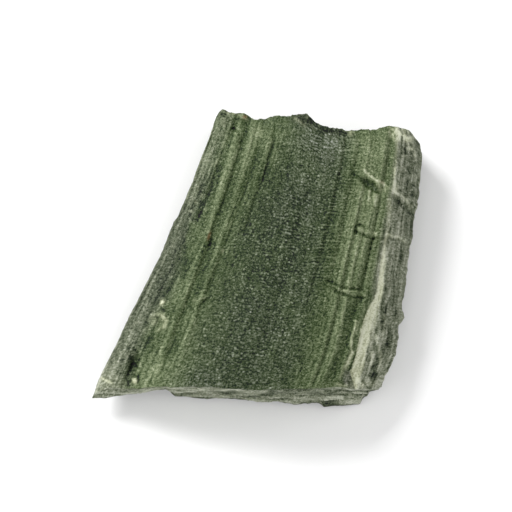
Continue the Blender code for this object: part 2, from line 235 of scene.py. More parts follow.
def cells(rows, columns, first, upward):
    n = first + np.arange((rows + 1) * (columns + 1)).reshape(rows + 1, columns + 1)
    corners = [n[:-1, :-1], n[1:, :-1], n[1:, 1:], n[:-1, 1:]]
    return np.stack(corners if upward else corners[::-1], -1).reshape(-1, 4)


def outward(loop, reach):
    along = sum(np.roll(loop, -k, 0) - np.roll(loop, k, 0) for k in range(1, reach + 1))
    out = np.stack([along[:, 1], -along[:, 0]], -1)
    return out / np.maximum(np.linalg.norm(out, axis=1), 1e-9)[:, None]


# ---------------------------------------------------------------- fine sculpture of the upper face
def mm(px, py):
    """The photograph's pixel as a place on the sheet."""
    return (px - 256.0) * 0.09, (256.0 - py) * 0.09


def near_line(x, y, points, width):
    """1 on the line through points (photograph's pixels), falling off over width mm, and how far along it is (0..1)."""
    p = np.array([mm(*q) for q in points])
    best, along = np.full(np.shape(x), 1e9), np.zeros(np.shape(x))
    lengths = np.concatenate([[0], np.cumsum(np.linalg.norm(np.diff(p, axis=0), axis=1))])
    for k in range(len(p) - 1):
        d = p[k + 1] - p[k]
        t = np.clip(((x - p[k][0]) * d[0] + (y - p[k][1]) * d[1]) / (d @ d), 0, 1)
        away = np.hypot(x - p[k][0] - t * d[0], y - p[k][1] - t * d[1])
        closer = away < best
        best = np.where(closer, away, best)
        along = np.where(closer, (lengths[k] + t * math.sqrt(d @ d)) / lengths[-1], along)
    return np.exp(-((best / width) ** 2)), along


def blob(x, y, px, py, long, wide, turn=0.0, power=1.0):
    """1 at the middle of an oval (photograph's pixels for its place, mm for its size), falling to 0."""
    cx, cy = mm(px, py)
    c, s = math.cos(turn), math.sin(turn)
    a, b = ((x - cx) * c + (y - cy) * s) / long, (-(x - cx) * s + (y - cy) * c) / wide
    return np.exp(-((a * a + b * b) ** power))


def cell_pits(a, b, seed, jitter=0.8):
    """Bowl-shaped pits, one for each whole step of a and b, placed and sized at random. 0 outside them, 1 at their bottom."""
    i0, j0 = np.floor(a), np.floor(b)
    pit = np.zeros(np.shape(a))
    for di in (-1, 0, 1):
        for dj in (-1, 0, 1):
            i, j = i0 + di, j0 + dj
            ca = i + 0.5 + 0.5 * jitter * lattice(i, j, seed)
            cb = j + 0.5 + 0.5 * jitter * lattice(i, j, seed + 1)
            size = 0.52 + 0.16 * lattice(i, j, seed + 2)
            d2 = ((a - ca) ** 2 + (b - cb) ** 2) / size**2
            pit = np.maximum(pit, (1 - np.clip(d2, 0, 1)) * (0.65 + 0.35 * lattice(i, j, seed + 3)))
    return pit


def inside(x, y, corners, soft):
    """1 inside a convex outline of the photograph's pixels, 0 outside, over soft mm at its edge."""
    p = np.array([mm(*q) for q in corners])
    middle, away = p.mean(0), np.full(np.shape(x), -1e9)
    for k in range(len(p)):
        d = p[(k + 1) % len(p)] - p[k]
        n = np.array([d[1], -d[0]]) / math.sqrt(d @ d)
        if (p[k] - middle) @ n < 0:
            n = -n
        away = np.maximum(away, (x - p[k][0]) * n[0] + (y - p[k][1]) * n[1])
    return ease(soft, -soft, away)


def strip(x, y, rows, soft):
    """1 between two ragged lines that run down the face, given as the photograph's rows: y, left x, right x."""
    r = np.array(rows, float)
    down = 256.0 - y / 0.09
    left, right = np.interp(down, r[:, 0], r[:, 1]), np.interp(down, r[:, 0], r[:, 2])
    px = 256.0 + x / 0.09
    width = np.maximum((right - left) / 2, 0.05)
    across = np.clip((px - left) / np.maximum(right - left, 0.2), 0, 1)
    ends = ease(r[0, 0] - 1.5, r[0, 0] + 1.5, down) * ease(r[-1, 0] + 1.5, r[-1, 0] - 1.5, down)
    return ease(soft, -soft, np.abs(px - (left + right) / 2) - width) * ends, across


def beads(u, v, count, rungs, seed, bend):
    """Flutes side by side, each crossed by its own stack of rungs: the flutes' crests and the rungs, both 0 to 1."""
    a = count * (v + 0.011 * waves(v * 9, 0.5, seed + 6)) + bend * (0.30 * waves(u * 6, v * count * 0.3, seed)
                                                                   + 0.12 * waves(u * 24, v * count * 0.7, seed + 1))
    c = np.floor(a)
    f = a - c
    own, other = lattice(c, 0 * c, seed + 2), lattice(c, 0 * c + 7, seed + 3)
    b = u * rungs * (1 + 0.10 * own) + 9.7 * other + 1.4 * own * (f - 0.5) ** 2
    b = b + bend * (0.55 * waves(u * 15, v * count * 0.5, seed + 4) + 0.25 * waves(u * 40, v * count, seed + 8))
    r = np.floor(b)
    fade = 0.70 + 0.30 * waves(u * 9 + 3.3 * other, c * 1.7, seed + 7)
    crest = (1 - np.abs(2 * f - 1) ** 2.4) * fade
    rung = np.sin(np.pi * (b - r)) ** 2 * (0.66 + 0.34 * lattice(c, r, seed + 5))
    return crest, rung


def upper_surface(u, v, x, y):
    """The upper face: its height and what its glass looks like, point by point.

    Tone is how light the glass looks, painted highlight and shade included: 0 black, 0.37 the dark middle, 0.55 the
    flutes, 1 a chip's pale skin.
    """
    z = table_height(u, v)
    v = v / FAN
    wander = 0.0035 * waves(u * 5, v * 9, 21) + 0.0014 * rough(u * 26, v * 30, 22)
    left, right = np.interp(u, SPLIT_U, SPLIT_LEFT), np.interp(u, SPLIT_U, SPLIT_RIGHT)
    depth = np.interp(u, SPLIT_U, SPLIT_DEPTH) * ease(SPLIT_U[0], SPLIT_U[1], u)
    z = z - depth * ease(left - 0.008, left + 0.010, v) * ease(-0.010, 0.030, right + 0.02 - v)
    for cx, cy, long, wide, turn, deep in HOLLOWS:
        c, s = math.cos(turn), math.sin(turn)
        a, b = ((x - cx) * c + (y - cy) * s) / long, (-(x - cx) * s + (y - cy) * c) / wide
        z = z - deep * np.exp(-((a * a + b * b) ** 1.5))
    z = z + 0.05 * rough(x / 1.45, y / 2.15, 41) * ease(0, 0.03, u)

    # where each kind of sculpture is: grains in the middle, flutes to both sides, weathered bevels at the edges
    centre = ease(0.22, 0.40, v + 0.05 * rough(u * 6, v * 6, 81) - 0.10 * ease(0.50, 0.12, u)) * ease(0.27, 0.40, 1 - v + 0.03 * rough(u * 7, 3.3, 82))
    bevel = 1 - ease(0.05, 0.13, v + 0.018 * rough(u * 14, v * 5, 83) - 0.02 * ease(0.35, 0.6, u))
    band = ease(0.870, 0.905, v + 0.010 * rough(u * 12, v * 4, 84))
    edge = np.maximum(bevel, band)
    fluted = np.clip(1 - centre - edge, 0, 1)
    ladder = ease(0.595, 0.635, v) * ease(0.745, 0.705, v) * ease(0.72, 0.50, u)

    # the tone of the thick and thin places: darkest down the middle, lighter to the back and both sides
    tone = 0.387 + 0.100 * ease(0.42, 0.05, v) + 0.130 * ease(0.60, 0.80, v) * (1 - 0.42 * u)
    tone = tone + 0.105 * ease(0.655, 0.74, v) * ease(1.0, 0.40, u) * ease(0.89, 0.86, v) - 0.05 * ease(0.05, 0.08, v) * ease(0.23, 0.17, v)
    tone = tone + 0.075 * ease(0.30, 0.05, u) + 0.05 * ease(0.65, 0.95, u) * ease(0.40, 0.10, v) + 0.080 * band + 0.07 * ease(0.07, 0.03, v)
    tone = tone - 0.11 * ease(0.075, 0.0, u) * ease(0.60, 0.70, v) + 0.05 * ease(0.975, 0.995, u)
    tone = tone + fluted * ease(0.45, 0.60, v) * (0.025 - 0.070 * ease(0.28, 0.16, u) - 0.035 * ease(0.38, 0.46, u) * ease(0.80, 0.65, u)) + 0.035 * ease(0.27, 0.20, v) * ease(0.05, 0.09, v) * ease(0.45, 0.15, u) + 0.07 * band * ease(0.45, 0.70, u)
    tone = tone - 0.015 * ease(0.30, 0.15, u) * ease(0.68, 0.72, v) * ease(0.88, 0.84, v) + ease(0.135, 0.10, u) * (0.050 * ease(0.17, 0.22, v) * ease(0.45, 0.40, v) + 0.060 * ease(0.02, 0.04, u) * ease(0.50, 0.56, v) * ease(0.74, 0.70, v))
    tone = tone + ease(0.68, 0.78, u) * ease(0.10, 0.14, v) * ease(0.45, 0.38, v) * (0.038 + 0.035 * ease(0.87, 0.92, u))
    tone = tone + 0.035 * ease(0.48, 0.62, u) * ease(0.50, 0.53, v) * ease(0.66, 0.62, v) + 0.07 * ease(0.08, 0.04, v) * ease(0.10, 0.16, u) * ease(0.38, 0.28, u) + 0.022 * ease(0.42, 0.32, u) * ease(0.40, 0.46, v) * ease(0.62, 0.57, v)
    tone = tone + 0.045 * rough(x / 2.6, y / 5.5, 121) + 0.035 * rough(x / 0.9, y / 1.8, 122)

    # ridges and grooves: ridges paler, partly thinner glass and partly painted highlight; grooves darker, painted shade
    broken = 0.80 + 0.42 * rough(u * 20, v * 55, 23)
    for v_back, v_front, width, high, first, last, light in FLUTES:
        middle = v_back + (v_front - v_back) * u + wander
        along = ease(first - 0.04, first + 0.05, u) * ease(1 - last - 0.04, 1 - last + 0.05, 1 - u)
        shape = np.exp(-(((v - middle) / width) ** 2)) * along
        z = z + 1.25 * high * shape
        tone = tone + (0.155 if light > 0 else 0.125) * light * shape * broken

    # flutes and rungs: crests and rungs paler and the hollows between them darker, partly the glass's thickness and
    # partly painted highlight and shade
    crest, rung = beads(u, v, 47, 80, 91, 1.0)
    crest2, rung2 = beads(u, v, 76, 96, 201, 1.0)
    deep = np.clip(0.32 + 0.50 * centre + 0.34 * ladder - 0.12 * edge + 0.15 * ease(0.45, 0.15, u), 0, 0.97)
    keen = 0.90 - 0.62 * centre - 0.35 * ladder
    one = (1 - keen * (1 - crest)) * (1 - deep * (1 - rung)) - (1 - 0.40 * keen) * (1 - 0.62 * deep)
    two = (1 - keen * (1 - crest2)) * (1 - deep * (1 - rung2)) - (1 - 0.40 * keen) * (1 - 0.62 * deep)
    crest3, rung3 = beads(u, v, 102, 102, 401, 1.0)
    three = (1 - keen * (1 - crest3)) * (1 - deep * (1 - rung3)) - (1 - 0.40 * keen) * (1 - 0.62 * deep)
    one = one + 0.75 * centre * (three - one)
    some = 0.5 + 0.5 * waves(u * 6, v * 11, 98)
    # long rungs, right of the middle and more faintly all over it
    _, long_rung = beads(u, v - 0.048, 1 / 0.06, 80, 301, 1.3)
    worms = ease(0.445, 0.475, v + 0.012 * rough(u * 30, 1.5, 185)) * ease(0.565, 0.535, v) * ease(0.95, 0.45, u) * ease(-0.45, 0.15, rough(u * 12, v * 9, 184))
    rows = (0.66 * ladder + 0.26 * centre + 0.90 * worms) * (long_rung - 0.40)
    tone, z = tone + 0.34 * rows, z + 0.08 * rows
    sculpted = (0.60 + 0.40 * some) * one + (0.65 - 0.40 * some) * (1 - 0.5 * ladder) * two
    z = z + (0.075 + 0.02 * ladder) * sculpted
    tone = tone + (0.33 - 0.01 * fluted + 0.05 * ladder) * sculpted
    # bowls
    small = cell_pits(v * 88 + 0.5 * waves(u * 20, v * 20, 96), u * 92 + 0.9 * waves(v * 9, u * 6, 97), 101)
    pitting = 0.30 + 0.55 * centre + 0.15 * bevel
    z = z - 0.05 * pitting * small
    tone = tone - 0.13 * pitting * (small - 0.35)
    grit = rough(x / 0.42, y / 0.22, 99, 2)
    z = z + 0.025 * rough(x / 0.55, y / 0.80, 119) + 0.018 * grit
    tone = tone + 0.085 * grit + 0.06 * edge * rough(x / 0.45, y / 0.9, 123)
    # the weathered band along the right edge: thin streaks, some of them open cracks
    lines = waves(v * 120 + 0.6 * waves(u * 12, v * 30, 151), u * 6, 152) * 0.6 + waves(v * 210, u * 11, 153) * 0.4
    open_line = ease(0.16, 0.0, np.abs(waves(v * 34 + 0.5 * waves(u * 10, v * 20, 155), u * 2.2, 156)))
    tone = tone + band * (0.115 + (0.17 + 0.08 * ease(0.4, 0.7, u)) * lines + 0.16 * rough(x / 0.30, y / 0.6, 154) - (0.16 + 0.08 * ease(0.4, 0.7, u)) * open_line
                         + 0.10 * ease(0.5, 0.75, u) * rough(x / 0.8, y / 1.1, 161))
    z = z + band * (0.05 * lines - 0.06 * open_line)
    tone = tone + bevel * ((0.05 + 0.08 * ease(0.60, 0.80, u)) * lines + 0.10 * rough(x / 0.7, y / 1.4, 157))
    leftward = ease(0.30, 0.16, v) * ease(0.03, 0.06, v)
    pocket = ease(0.30, 0.75, rough(v * 62 + 0.8 * waves(u * 16, v * 20, 158), u * 21, 159, 2))
    tone = tone - 0.15 * leftward * pocket + 0.10 * leftward * waves(v * 70 + 0.5 * waves(u * 14, v * 25, 160), u * 8, 161)
    z = z - 0.06 * leftward * pocket
    grey = 0.85 * np.maximum(band, bevel * (0.62 + 0.38 * ease(0.10, 0.40, u)))
    return z, tone, grey, centre, edge


def stone():
    us, vs = np.linspace(0, 1, ROWS + 1), np.linspace(0, 1, COLUMNS + 1)
    u, v = np.meshgrid(us, vs, indexing="ij")
    at = face_grid(us, vs)
    x, y = at[..., 0], at[..., 1]
    z, tone, grey, centre, edge = upper_surface(u, v, x, y)
    white = np.zeros(np.shape(u))
    # marks are drawn in wavering coordinates, so that no line is even
    wx = x + 0.07 * rough(x / 0.55, y / 0.55, 131) + 0.03 * rough(x / 0.16, y / 0.16, 132, 2)
    wy = y + 0.07 * rough(x / 0.55, y / 0.55, 133) + 0.03 * rough(x / 0.16, y / 0.16, 134, 2)
    patchy = 0.72 + 0.55 * rough(x / 0.38, y / 0.38, 135)

    def mark(points, width, lift, light, whiten=0.0):
        nonlocal z, tone, white
        line, _ = near_line(wx, wy, points, width)
        line = line * np.clip(patchy, 0, 1.3)
        z, tone, white = z + 1.5 * lift * line, tone + light * line, white + whiten * line

    # carves a hollow into the face and darkens it; the darkening is painted shade in the hollow
    def hollow(px, py, long, wide, turn, deep, dark, power=1.6):
        nonlocal z, tone
        shape = blob(wx, wy, px, py, long, wide, turn, power)
        z, tone = z - deep * shape, tone - dark * shape

    def patch_of(px, py, long, wide, turn, light, whiten, power=1.4):
        nonlocal tone, white
        shape = blob(wx, wy, px, py, long, wide, turn, power) * patchy
        tone, white = tone + light * shape, white + whiten * shape

    # crack A: a dark lens-shaped scoop under a pale line that runs on to the right edge
    mark([(341, 169), (347, 170.5), (351, 172)], 0.11, 0.03, 0.16)
    mark([(352, 172.5), (358, 176.5), (364, 180.5)], 0.16, -0.07, -0.24)
    scoop = np.clip(1.15 * blob(wx, wy, 371.0, 185.6, 1.12, 0.36, -0.60, 3.0), 0, 1)
    z, tone = z - 0.20 * scoop, tone * (1 - 0.88 * scoop) + 0.88 * scoop * (0.275 + 0.05 * rough(x / 0.5, y / 0.35, 183))
    mark([(363.5, 170), (370, 176), (376, 180), (382.5, 182.5)], 0.115, 0.06, 0.50, 0.42)
    mark([(378, 184.5), (379.5, 188), (380.5, 190.2)], 0.17, 0.03, 0.28, 0.45)
    mark([(384, 185.5), (385.5, 190.5)], 0.14, 0.03, 0.28, 0.50)
    mark([(383, 183.5), (391, 189), (397, 194)], 0.09, 0.05, 0.34, 0.25)
    mark([(397, 193.5), (403, 196.5), (407, 201), (411, 206)], 0.17, 0.05, 0.26, 0.28)
    hollow(397.8, 200.2, 0.66, 0.25, -0.95, 0.16, 0.24, 2.4)
    mark([(402, 205), (408, 210.5), (415, 216)], 0.17, -0.14, -0.38)
    mark([(369.7, 191), (369.2, 197), (368.6, 203)], 0.14, 0.05, 0.26, 0.12)
    mark([(375.8, 194.5), (375, 200), (374, 205)], 0.15, 0.05, 0.34, 0.20)
    mark([(363.8, 188), (363.4, 194), (362.8, 200)], 0.13, 0.04, 0.18)
    mark([(366.6, 190), (366.2, 199), (365.5, 208)], 0.12, -0.04, -0.18)
    mark([(372.7, 193), (372.2, 201), (371.4, 209)], 0.12, -0.04, -0.18)
    # crack B: a blunt-ended crack with a low bar in it, then a pale line across the weathered band
    mark([(359.5, 225.2), (355.6, 226.2), (354.2, 229), (356, 232)], 0.13, -0.09, -0.30)
    mark([(359.5, 225.2), (364, 227.4), (370, 229.8)], 0.12, -0.06, -0.26)
    mark([(356, 232), (361, 234.2), (367, 237), (373, 238.4)], 0.16, -0.12, -0.30)
    mark([(373, 238.4), (380, 238.8), (386, 238)], 0.13, -0.08, -0.14)
    mark([(358, 229), (365, 231.3), (374, 234), (383, 235.6)], 0.14, 0.11, 0.20)
    patch_of(374.5, 233.5, 0.24, 0.11, -0.3, 0.26, 0.35)
    mark([(386, 234), (393, 236.3), (400, 237.6), (404.5, 241)], 0.12, 0.07, 0.30, 0.35)
    mark([(390, 238.5), (398, 240), (402, 243)], 0.10, -0.05, -0.16)
    # crack C: two dark lines with a pale ridge between them
    mark([(313, 277), (320, 278), (327, 280)], 0.11, -0.05, -0.12)
    mark([(327, 280), (334, 283), (339, 286), (346, 288), (354, 289.6), (361, 288.2)], 0.14, -0.11, -0.22)
    mark([(322, 284), (328, 286.5), (334, 289), (338, 291.5)], 0.13, -0.07, -0.16)
    mark([(336, 291), (343, 293.8), (349, 296), (356, 297.4), (362.5, 298.2)], 0.15, -0.12, -0.20)
    mark([(338, 288.6), (344, 290.8), (350, 292.4), (357, 293.7), (364, 295.2)], 0.18, 0.12, 0.19)
    patch_of(345, 290.6, 0.20, 0.12, -0.3, 0.10, 0.10)
    patch_of(363, 295.4, 0.20, 0.12, -0.2, 0.12, 0.15)
    mark([(371, 241), (369, 250), (366.6, 260), (364.4, 270), (361.8, 284)], 0.13, -0.07, -0.19)
    # short cross crack on the left, where the second ridge ends
    mark([(194, 304), (200, 300), (206, 296)], 0.13, 0.07, 0.26)
    mark([(197, 307), (204, 302), (210, 297)], 0.09, -0.08, -0.20)
    # pale bands down the right side
    bar, _ = strip(wx, wy, [(128, 396, 399), (140, 395.9, 398.0), (150, 396.0, 397.6), (160, 395.4, 397.0), (170, 394.4, 396.4),
                            (180, 394.0, 396.4), (187, 393.4, 396.8), (193, 393.4, 396.8), (197, 394.0, 396.2)], 0.6)
    down = ease(150, 178, 256 - y / 0.09)
    bar = bar * np.clip(0.62 + 1.1 * rough(x / 0.26, y / 0.34, 181, 2), 0, 1)
    white, tone = white + bar * (0.34 + 0.36 * down) * patchy, tone + bar * (0.12 + 0.10 * down)
    bar, _ = strip(wx, wy, [(198, 387, 391), (210, 387, 391.5), (225, 386.5, 390), (240, 385, 388)], 0.8)
    white, tone = white + 0.34 * bar * patchy, tone + 0.12 * bar
    # the wide pale chip: a blade-shaped flake scar of long fibres, which starts as a line and frays out to the right
    scar, across = strip(wx, wy, [
        (236, 384.4, 387.2), (250, 382.4, 386.8), (262, 380.6, 386.2), (268, 379.8, 385.6), (275, 378.8, 384.9), (285, 377.2, 384.0),
        (293, 376.0, 383.0), (299, 373.6, 381.8), (303, 371.2, 380.8), (310, 367.0, 379.2), (320, 363.0, 377.2), (330, 360.4, 375.2),
        (340, 358.4, 373.4), (350, 356.0, 370.8), (360, 353.6, 367.6), (366, 351.4, 365.4), (370, 350.2, 363.8), (374, 350.0, 362.4),
        (378, 351.2, 359.8), (384, 353.8, 358.2), (389, 355.2, 357)], 0.5)
    bend = 0.5 * waves(y / 1.3, 0.5, 136)
    fibre = 0.5 * waves(across * 7 + bend, y / 2.6, 146) + 0.5 * waves(across * 14 + 2 * bend, y / 1.2, 147)
    fray = ease(0.62, 0.92, across + 0.26 * fibre + 0.05 * rough(x / 0.3, y / 0.5, 137))
    whole = ease(242, 262, 256 - y / 0.09)
    low = ease(338, 372, 256 - y / 0.09)
    white = white + scar * (0.50 + 0.50 * whole) * (1 - 0.86 * fray) * (1 + 0.10 * fibre)
    chip_tone = 0.965 + (0.17 + 0.08 * low) * fibre + 0.17 * rough(x / 0.22, y / 0.34, 137, 2) - 0.24 * fray - 0.06 * low
    tone = tone * (1 - 0.92 * scar * whole) + 0.92 * scar * whole * chip_tone
    z = z + scar * (0.06 * fibre - 0.10 * whole * (1 - across))
    mark([(368, 347), (366.8, 355), (364.6, 362), (363, 370), (361.4, 376)], 0.085, -0.06, -0.30, -0.65)
    mark([(362.4, 352), (360.4, 361), (358.4, 370)], 0.07, -0.04, -0.14, -0.30)
    mark([(372.6, 318), (371, 330), (370, 340)], 0.07, -0.03, -0.10, -0.25)
    mark([(386.4, 268), (386, 282), (384.4, 296), (382.8, 309), (381.8, 322)], 0.10, -0.07, -0.26, -0.3)
    mark([(384.6, 314), (383.4, 326), (381.4, 338)], 0.10, 0.04, 0.20, 0.25)
    # thin jagged ridge left of it, the pale wedge and the grey facet at its foot, and the crevices around them,
    # darkened with painted shade
    mark([(355.6, 320.5), (353.9, 329), (351.2, 338), (350.6, 343), (351, 349), (352.6, 351)], 0.095, 0.08, 0.52, 0.70)
    mark([(357.6, 322), (355.8, 333)], 0.08, 0.04, 0.28, 0.20)
    mark([(351.8, 351.5), (348.6, 359), (345, 366.4)], 0.17, 0.09, 0.44, 0.70)
    # dark line right of the pale wedge: its painted shadow
    mark([(354, 352), (352.6, 360), (350, 366)], 0.10, -0.09, -0.26, -0.2)
    mark([(342.9, 368), (341.5, 372.5), (338.4, 378)], 0.09, 0.05, 0.34, 0.50)
    foot_facet = inside(wx, wy, [(345, 367.5), (349, 370), (350.5, 377), (347, 383), (342.6, 383), (341.8, 376)], 0.12)
    tone, grey = tone * (1 - 0.8 * foot_facet) + 0.8 * foot_facet * (0.60 + 0.16 * rough(x / 0.25, y / 0.25, 148)), grey + 0.8 * foot_facet
    mark([(337.2, 383), (342.6, 385.6), (346.4, 384.6)], 0.11, 0.05, 0.38, 0.60)
    mark([(351.4, 371), (352, 377), (349.4, 384)], 0.09, -0.07, -0.26)
    patch_of(355.4, 382, 0.55, 0.42, 0.9, 0.15, 0.50)
    mark([(357.5, 378), (359.8, 383), (358, 388)], 0.10, 0.03, 0.20, 0.35)
    mark([(353, 380), (355.4, 384), (354, 388)], 0.08, -0.06, -0.26, -0.2)
    mark([(346.6, 366.8), (350.8, 369.6), (352, 375), (348.6, 384.4)], 0.09, -0.06, -0.22)
    mark([(343.4, 367.4), (341.2, 374), (342, 383.6)], 0.09, -0.06, -0.22)
    patch_of(362.2, 385.2, 0.24, 0.15, 1.4, 0.26, 0.75)
    mark([(360.6, 379), (364, 382.5), (366.5, 386.5)], 0.09, -0.06, -0.20)
    patch_of(371, 383, 0.75, 0.35, 0.15, 0.10, 0.20)
    hollow(372.6, 374.0, 0.66, 0.24, 0.14, 0.18, 0.34)
    hollow(371.6, 367.6, 0.34, 0.20, 1.3, 0.09, 0.26)
    hollow(374.2, 378.2, 0.22, 0.18, 0.0, 0.06, 0.22)
    hollow(347, 388.0, 0.75, 0.14, -0.35, 0.08, 0.26)
    mark([(372.2, 352), (371.4, 358), (370.4, 364)], 0.10, 0.05, 0.30, 0.40)
    mark([(375.6, 336), (378.0, 344), (380.0, 353), (380.2, 361), (377.9, 369)], 0.13, 0.07, 0.26, 0.34)
    mark([(375.0, 342), (376.4, 352), (375.6, 362)], 0.13, -0.06, -0.20)
    # dark lines of the weathered band
    mark([(401.6, 247), (400.4, 258), (398, 265), (396, 278), (393.8, 292), (390, 312)], 0.11, -0.10, -0.26)
    mark([(389.5, 315), (388, 330), (386, 345)], 0.12, -0.08, -0.20)
    mark([(391.5, 262), (390.3, 275), (388.6, 290)], 0.10, 0.04, 0.14)
    mark([(399.5, 225), (397, 245), (396, 258)], 0.10, 0.04, 0.14, 0.10)
    # the back left corner: a dark pit, a thin pale lip
    hollow(233.6, 127.9, 0.19, 0.17, 0.0, 0.16, 0.46, 1.5)
    mark([(218.5, 113.5), (225, 119), (231, 125.6)], 0.15, 0.06, 0.15, 0.06)
    mark([(221, 112.5), (228, 117.5), (234, 123.5)], 0.10, -0.05, -0.18)
    mark([(236, 130), (239, 136), (240, 143)], 0.13, -0.05, -0.16)
    patch_of(241, 118.8, 0.70, 0.30, -0.35, -0.11, 0.0, 2.0)
    patch_of(226, 134.5, 0.42, 0.30, 0.9, 0.09, 0.08)
    mark([(227, 111.5), (233, 113), (240, 115), (248, 119)], 0.09, 0.02, 0.16, 0.55)
    hollow(221, 113, 0.55, 0.30, 0.3, 0.0, 0.10)
    # cavity behind the pointed corner, with a pale grain in it
    hollow(134.2, 360.5, 1.05, 0.46, 1.15, 0.12, 0.10, 2.0)
    mark([(135.5, 349.5), (138.5, 355), (140.3, 361)], 0.13, -0.06, -0.18)
    mark([(130.5, 356), (133.5, 361), (137, 366)], 0.11, -0.05, -0.14)
    mark([(130.4, 375), (134.5, 374.4), (138.6, 377), (139.6, 383)], 0.12, -0.07, -0.24)
    mark([(128.4, 375), (127.5, 381), (129.6, 387)], 0.15, -0.07, -0.20)
    mark([(127, 351), (125.6, 359), (124, 368)], 0.11, 0.04, 0.11)
    mark([(141, 364), (138.5, 371)], 0.12, 0.04, 0.12)
    hollow(132.6, 365.5, 0.42, 0.22, 1.30, 0.10, 0.17)
    hollow(128.4, 374, 0.75, 0.20, 1.20, 0.12, 0.18, 1.8)
    hollow(129.0, 383, 0.60, 0.30, 0.2, 0.12, 0.24, 1.8)
    hollow(138.6, 378, 0.40, 0.12, 1.40, 0.08, 0.28)
    grain = blob(wx, wy, 135.2, 380.6, 0.27, 0.25, 0.4, 2.0)
    z, white, tone = z + 0.18 * grain, white + 0.95 * grain, tone + 0.36 * grain
    tip = ease(1.6, 0.5, np.hypot((x + 13.6) / 2.3, (y + 11.5) / 0.9))
    tone, white = tone + 0.085 * tip + 0.17 * tip * rough(x / 0.32, y / 0.24, 141, 2), white + 0.12 * tip * patchy
    tone = tone + 0.10 * ease(0.72, 0.95, u) * ease(0.085, 0.03, v)
    patch_of(106.5, 381.5, 0.55, 0.16, -0.30, 0.08, 0.30)
    mark([(102.5, 377.6), (106.5, 380.6), (112.5, 383.0)], 0.10, 0.05, 0.24, 0.50)
    mark([(104.5, 377.0), (109, 380.0), (114, 381.6)], 0.09, -0.04, -0.14)
    patch_of(103, 378, 0.30, 0.12, -0.6, 0.10, 0.35)
    patch_of(162.2, 302.5, 0.34, 0.20, 1.1, 0.55, 1.3)
    patch_of(158, 319.5, 0.50, 0.34, 1.2, 0.08, 0.15)
    mark([(150.5, 320), (153, 315.5), (157.5, 313.4), (162.5, 315)], 0.20, 0.05, 0.17, 0.30)
    mark([(162.5, 315.5), (165.8, 320.5), (165, 326)], 0.22, 0.05, 0.26, 0.60)
    mark([(157, 330), (161, 328.5), (164, 326)], 0.15, 0.04, 0.18, 0.40)
    patch_of(154.5, 322, 0.36, 0.24, 0.8, 0.15, 0.30)
    hollow(160.5, 322, 0.18, 0.14, 0.9, 0.05, 0.14)
    mark([(144, 334), (144.8, 329), (148, 327), (149.8, 330), (148, 335)], 0.11, 0.04, 0.20, 0.12)
    mark([(150, 334), (149, 340), (145.5, 347)], 0.12, -0.06, -0.18)
    mark([(175, 275.7), (171.2, 284), (167.7, 291.4)], 0.12, -0.07, -0.24)
    mark([(172.4, 276), (168.8, 284), (165.4, 291)], 0.09, 0.04, 0.18)
    patch_of(156.5, 286, 2.0, 0.55, 1.257, -0.075, 0.0, 2.0)
    patch_of(181.5, 236, 1.4, 0.50, 1.20, -0.085, 0.0, 2.0)
    patch_of(136, 324, 1.7, 0.70, 1.2, 0.055, 0.0, 2.0)
    hollow(202, 204.5, 0.32, 0.17, 1.2, 0.07, 0.24)
    hollow(200.5, 214, 0.40, 0.20, 1.1, 0.08, 0.26)
    hollow(192.5, 206, 0.40, 0.15, 1.2, 0.05, 0.18)
    hollow(189, 216, 0.35, 0.16, 1.1, 0.05, 0.16)
    patch_of(206, 210, 0.15, 0.14, 0.0, 0.26, 0.35)
    patch_of(191, 211, 0.15, 0.12, 0.0, 0.24, 0.40)
    patch_of(201, 196, 0.16, 0.12, 1.2, 0.18, 0.30)
    mark([(222, 150), (217.5, 165), (213, 180), (207.5, 198)], 0.13, -0.06, -0.18)
    mark([(211.5, 164), (207, 178), (202.5, 190)], 0.12, 0.05, 0.15)
    mark([(217.5, 160.5), (215, 163)], 0.18, 0.03, 0.20, 0.15)
    mark([(272, 139), (268, 152), (263.6, 168), (261, 177)], 0.11, 0.05, 0.18)
    mark([(274, 141), (270, 154), (265.4, 170), (262.6, 181)], 0.10, -0.05, -0.16)
    mark([(252.5, 131), (248, 148), (243, 166), (239, 182)], 0.10, -0.04, -0.07)
    patch_of(258, 132.5, 0.60, 0.45, 1.2, 0.10, 0.12)
    hollow(210.8, 242, 0.55, 0.13, 1.2, 0.07, 0.22)
    patch_of(208, 231.6, 0.14, 0.12, 0.0, 0.26, 0.45)
    mark([(222, 120), (224.5, 127), (226, 132)], 0.10, 0.04, 0.16, 0.15)
    mark([(224, 133), (229.5, 133.5), (233, 131)], 0.10, -0.05, -0.14)
    patch_of(195.3, 299.6, 0.22, 0.14, 0.5, 0.24, 0.25)
    hollow(147, 323, 0.26, 0.16, 1.2, 0.05, 0.16)
    hollow(166, 311, 0.40, 0.16, -0.5, 0.04, 0.14)
    patch_of(351, 132.5, 0.26, 0.30, 0.2, 0.25, 0.80)
    specks = blob(wx, wy, 402, 134.5, 1.15, 0.62, -0.35, 2.0) * ease(-0.25, 0.30, rough(x / 0.22, y / 0.26, 182, 2))
    tone, white = tone + 0.42 * specks, white + 0.90 * specks
    patch_of(398.2, 132.5, 0.26, 0.42, 0.2, 0.30, 0.80)
    patch_of(404, 170, 0.60, 0.40, 1.2, 0.10, 0.05)
    patch_of(223, 251, 0.18, 0.10, 1.2, 0.30, 0.80)
    patch_of(196, 202, 0.14, 0.14, 0.0, 0.25, 0.60)
    # a smooth facet behind the left bevel
    facet = inside(wx, wy, [(190, 221), (199, 226), (205, 236), (193, 262), (187, 256), (186, 236)], 0.14)
    tone, grey = tone * (1 - 0.65 * facet) + 0.65 * facet * 0.475, grey * (1 - 0.7 * facet)
    mark([(205, 236), (199, 249), (193, 262)], 0.10, -0.05, -0.16)
    mark([(190, 221), (199, 226), (205, 236)], 0.08, 0.04, 0.16)
